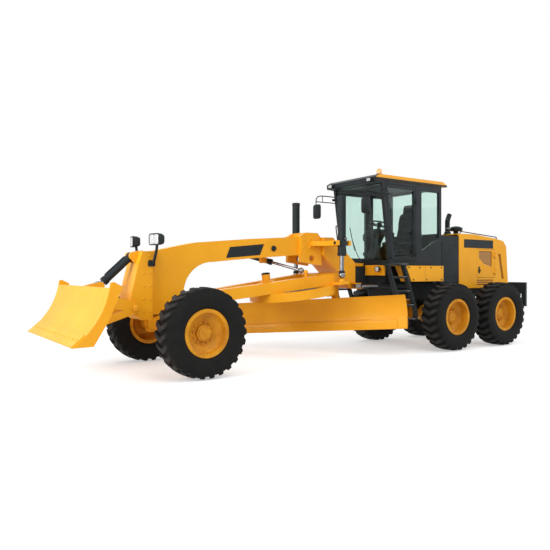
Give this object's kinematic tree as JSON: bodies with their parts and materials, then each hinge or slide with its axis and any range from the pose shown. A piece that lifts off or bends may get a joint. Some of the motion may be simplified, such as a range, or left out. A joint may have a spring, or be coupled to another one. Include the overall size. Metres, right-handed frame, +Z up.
{
  "type": "motor grader",
  "caption": "Hinged-frame motor grader with a turning blade slung under its goose-neck beam, a hollow cab, tandem rear wheels and a small dozer blade in front.",
  "frame": {"origin": "on the floor, midway between the dozer blade's tip and the rear bumper, in the machine's middle plane", "axes": "+X forward, +Y to the machine's left, +Z up"},
  "size_m": [10.459, 3.4172, 3.56],
  "materials": {
    "yellow_paint": "semi-gloss construction yellow",
    "dark_paint": "satin charcoal",
    "rod_chrome": "polished",
    "steel": "greased",
    "cast_iron": "painted grey",
    "trim": "grained",
    "lamp": "clear lens",
    "glass": "pale green tint",
    "tyre": "worn"
  },
  "bodies": {
    "rear_frame": {"rear_frame": "dark_paint", "side_section": "dark_paint", "rear_drive": "yellow_paint", "engine_block": "cast_iron", "hood": "yellow_paint", "cab_frame": "dark_paint", "cab_roof": "yellow_paint", "cab_glass": "glass", "cab_interior": "trim", "side_panels": "yellow_paint", "ladders": "dark_paint", "exhaust_and_intake": "dark_paint", "mirrors": "dark_paint", "lamps": "lamp", "tow_hitch": "dark_paint"},
    "front_frame": {"front_frame": "yellow_paint", "saddle": "yellow_paint", "front_bracket": "yellow_paint", "headlamps": "dark_paint", "front_axle": "yellow_paint"},
    "door_left": {"door_left": "dark_paint", "door_left_glass": "glass"},
    "door_right": {"door_right": "dark_paint", "door_right_glass": "glass"},
    "hood_door_left": {"hood_door_left": "yellow_paint"},
    "hood_door_right": {"hood_door_right": "yellow_paint"},
    "knuckle_left": {"knuckle_left": "yellow_paint"},
    "knuckle_right": {"knuckle_right": "yellow_paint"},
    "tie_rod": {"tie_rod": "dark_paint"},
    "drawbar_cross": {"drawbar_cross": "steel"},
    "drawbar": {"drawbar": "yellow_paint"},
    "circle": {"circle": "yellow_paint"},
    "blade_carrier": {"blade_carrier": "yellow_paint"},
    "moldboard": {"moldboard": "yellow_paint"},
    "lift_barrel_left": {"lift_barrel_left": "dark_paint"},
    "lift_barrel_right": {"lift_barrel_right": "dark_paint"},
    "lift_rod_left": {"lift_rod_left": "rod_chrome"},
    "lift_rod_right": {"lift_rod_right": "rod_chrome"},
    "shift_barrel": {"shift_barrel": "dark_paint"},
    "shift_rod": {"shift_rod": "rod_chrome"},
    "dozer_blade": {"dozer_blade": "yellow_paint"},
    "dozer_barrel": {"dozer_barrel": "dark_paint"},
    "dozer_rod": {"dozer_rod": "rod_chrome"},
    "hinge_barrel_left": {"hinge_barrel_left": "dark_paint"},
    "hinge_barrel_right": {"hinge_barrel_right": "dark_paint"},
    "hinge_rod_left": {"hinge_rod_left": "rod_chrome"},
    "hinge_rod_right": {"hinge_rod_right": "rod_chrome"},
    "wheel_front_left": {"rim_front_left": "yellow_paint", "tyre_front_left": "tyre"},
    "wheel_front_right": {"rim_front_right": "yellow_paint", "tyre_front_right": "tyre"},
    "wheel_mid_left": {"rim_mid_left": "yellow_paint", "tyre_mid_left": "tyre"},
    "wheel_mid_right": {"rim_mid_right": "yellow_paint", "tyre_mid_right": "tyre"},
    "wheel_rear_left": {"rim_rear_left": "yellow_paint", "tyre_rear_left": "tyre"},
    "wheel_rear_right": {"rim_rear_right": "yellow_paint", "tyre_rear_right": "tyre"}
  },
  "joints": [
    {"name": "articulation", "type": "hinge", "parent": "rear_frame", "child": "front_frame", "pos_m": [-0.765, 0, 1.495], "axis": [0, 0, -1], "range_deg": [-20, 20]},
    {"name": "steer_left", "type": "hinge", "parent": "front_frame", "child": "knuckle_left", "pos_m": [3.235, 0.775, 0.655], "axis": [0, 0, 1], "range_deg": [-45, 45]},
    {"name": "steer_right", "type": "hinge", "parent": "front_frame", "child": "knuckle_right", "pos_m": [3.235, -0.775, 0.655], "axis": [0, 0, 1], "range_deg": [-45, 45]},
    {"name": "tie_rod_swing", "type": "hinge", "parent": "knuckle_left", "child": "tie_rod", "pos_m": [2.955, 0.775, 0.505], "axis": [0, 0, 1], "range_deg": [-45, 45]},
    {"name": "drawbar_shift", "type": "hinge", "parent": "front_frame", "child": "drawbar_cross", "pos_m": [2.935, 0, 1.06], "axis": [0, 0, -1], "range_deg": [-10, 10]},
    {"name": "drawbar_lift", "type": "hinge", "parent": "drawbar_cross", "child": "drawbar", "pos_m": [2.935, 0, 1.06], "axis": [0, 1, 0], "range_deg": [-16, 0]},
    {"name": "circle_turn", "type": "hinge", "parent": "drawbar", "child": "circle", "pos_m": [0.8139, 0, 1.1895], "axis": [0.1219, 0, 0.9925], "continuous": true},
    {"name": "blade_tip", "type": "hinge", "parent": "circle", "child": "blade_carrier", "pos_m": [0.0997, -0.4139, 0.6021], "axis": [-0.5406, 0.8387, 0.0664], "range_deg": [-5, 40]},
    {"name": "blade_side_shift", "type": "slide", "parent": "blade_carrier", "child": "moldboard", "axis": [0.5406, -0.8387, -0.0664], "range_m": [-0.55, 0.55]},
    {"name": "lift_swing_left", "type": "hinge", "parent": "front_frame", "child": "lift_barrel_left", "pos_m": [0.205, 0.7, 2.09], "axis": [1, 0, 0], "range_deg": [-40, 40]},
    {"name": "lift_swing_right", "type": "hinge", "parent": "front_frame", "child": "lift_barrel_right", "pos_m": [0.205, -0.7, 2.09], "axis": [1, 0, 0], "range_deg": [-40, 40]},
    {"name": "lift_stroke_left", "type": "slide", "parent": "lift_barrel_left", "child": "lift_rod_left", "axis": [0, 0, -1], "range_m": [0, 0.78]},
    {"name": "lift_stroke_right", "type": "slide", "parent": "lift_barrel_right", "child": "lift_rod_right", "axis": [0, 0, -1], "range_m": [0, 0.78]},
    {"name": "shift_swing", "type": "hinge", "parent": "front_frame", "child": "shift_barrel", "pos_m": [1.235, -0.25, 1.78], "axis": [-0.8281, -0.5606, 0], "range_deg": [0, 33]},
    {"name": "shift_stroke", "type": "slide", "parent": "shift_barrel", "child": "shift_rod", "axis": [-0.5408, 0.7989, -0.263], "range_m": [-0.26, 0.26]},
    {"name": "dozer_lift", "type": "hinge", "parent": "front_frame", "child": "dozer_blade", "pos_m": [3.955, 0, 1.02], "axis": [0, -1, 0], "range_deg": [-35, 0]},
    {"name": "dozer_swing", "type": "hinge", "parent": "front_frame", "child": "dozer_barrel", "pos_m": [3.911, 0, 1.814], "axis": [0, -1, 0], "range_deg": [-10, 0]},
    {"name": "dozer_stroke", "type": "slide", "parent": "dozer_barrel", "child": "dozer_rod", "axis": [0.7366, 0, -0.6763], "range_m": [0, 0.33]},
    {"name": "hinge_swing_left", "type": "hinge", "parent": "rear_frame", "child": "hinge_barrel_left", "pos_m": [-1.665, 0.56, 1.3], "axis": [0, 0, -1], "range_deg": [-6, 6]},
    {"name": "hinge_swing_right", "type": "hinge", "parent": "rear_frame", "child": "hinge_barrel_right", "pos_m": [-1.665, -0.56, 1.3], "axis": [0, 0, -1], "range_deg": [-6, 6]},
    {"name": "hinge_stroke_left", "type": "slide", "parent": "hinge_barrel_left", "child": "hinge_rod_left", "axis": [0.9954, -0.0956, 0], "range_m": [-0.17, 0.17]},
    {"name": "hinge_stroke_right", "type": "slide", "parent": "hinge_barrel_right", "child": "hinge_rod_right", "axis": [0.9954, 0.0956, 0], "range_m": [-0.17, 0.17]},
    {"name": "door_left", "type": "hinge", "parent": "rear_frame", "child": "door_left", "pos_m": [-1.711, 0.74, 2.5], "axis": [0, 0, 1], "range_deg": [0, 95]},
    {"name": "door_right", "type": "hinge", "parent": "rear_frame", "child": "door_right", "pos_m": [-1.711, -0.74, 2.5], "axis": [0, 0, -1], "range_deg": [0, 95]},
    {"name": "hood_door_left", "type": "hinge", "parent": "rear_frame", "child": "hood_door_left", "pos_m": [-4.357, 0.69, 1.7575], "axis": [0, 0, 1], "range_deg": [0, 100]},
    {"name": "hood_door_right", "type": "hinge", "parent": "rear_frame", "child": "hood_door_right", "pos_m": [-4.357, -0.69, 1.7575], "axis": [0, 0, -1], "range_deg": [0, 100]},
    {"name": "wheel_front_left", "type": "hinge", "parent": "knuckle_left", "child": "wheel_front_left", "pos_m": [3.235, 1.08, 0.674], "axis": [0, 1, 0], "continuous": true},
    {"name": "wheel_front_right", "type": "hinge", "parent": "knuckle_right", "child": "wheel_front_right", "pos_m": [3.235, -1.08, 0.674], "axis": [0, 1, 0], "continuous": true},
    {"name": "wheel_mid_left", "type": "hinge", "parent": "rear_frame", "child": "wheel_mid_left", "pos_m": [-2.342, 1.08, 0.674], "axis": [0, 1, 0], "continuous": true},
    {"name": "wheel_mid_right", "type": "hinge", "parent": "rear_frame", "child": "wheel_mid_right", "pos_m": [-2.342, -1.08, 0.674], "axis": [0, 1, 0], "continuous": true},
    {"name": "wheel_rear_left", "type": "hinge", "parent": "rear_frame", "child": "wheel_rear_left", "pos_m": [-3.908, 1.08, 0.674], "axis": [0, 1, 0], "continuous": true},
    {"name": "wheel_rear_right", "type": "hinge", "parent": "rear_frame", "child": "wheel_rear_right", "pos_m": [-3.908, -1.08, 0.674], "axis": [0, 1, 0], "continuous": true}
  ],
  "couplings": [
    {"joint": "steer_right", "follows": "steer_left", "ratio": 1},
    {"joint": "tie_rod_swing", "follows": "steer_left", "ratio": -1},
    {"joint": "lift_swing_left", "follows": "drawbar_shift", "ratio": 3.9},
    {"joint": "lift_swing_right", "follows": "drawbar_shift", "ratio": 3.9},
    {"joint": "lift_stroke_left", "follows": "drawbar_lift", "m_per_rad": -2.725},
    {"joint": "lift_stroke_right", "follows": "drawbar_lift", "m_per_rad": -2.725},
    {"joint": "shift_swing", "follows": "drawbar_lift", "ratio": -2},
    {"joint": "shift_stroke", "follows": "drawbar_shift", "m_per_rad": 1.459},
    {"joint": "dozer_swing", "follows": "dozer_lift", "ratio": 0.2519},
    {"joint": "dozer_stroke", "follows": "dozer_lift", "m_per_rad": -0.5234},
    {"joint": "hinge_swing_left", "follows": "articulation", "ratio": 0.2399},
    {"joint": "hinge_swing_right", "follows": "articulation", "ratio": 0.2399},
    {"joint": "hinge_stroke_left", "follows": "articulation", "m_per_rad": 0.4687},
    {"joint": "hinge_stroke_right", "follows": "articulation", "m_per_rad": -0.4687}
  ]
}
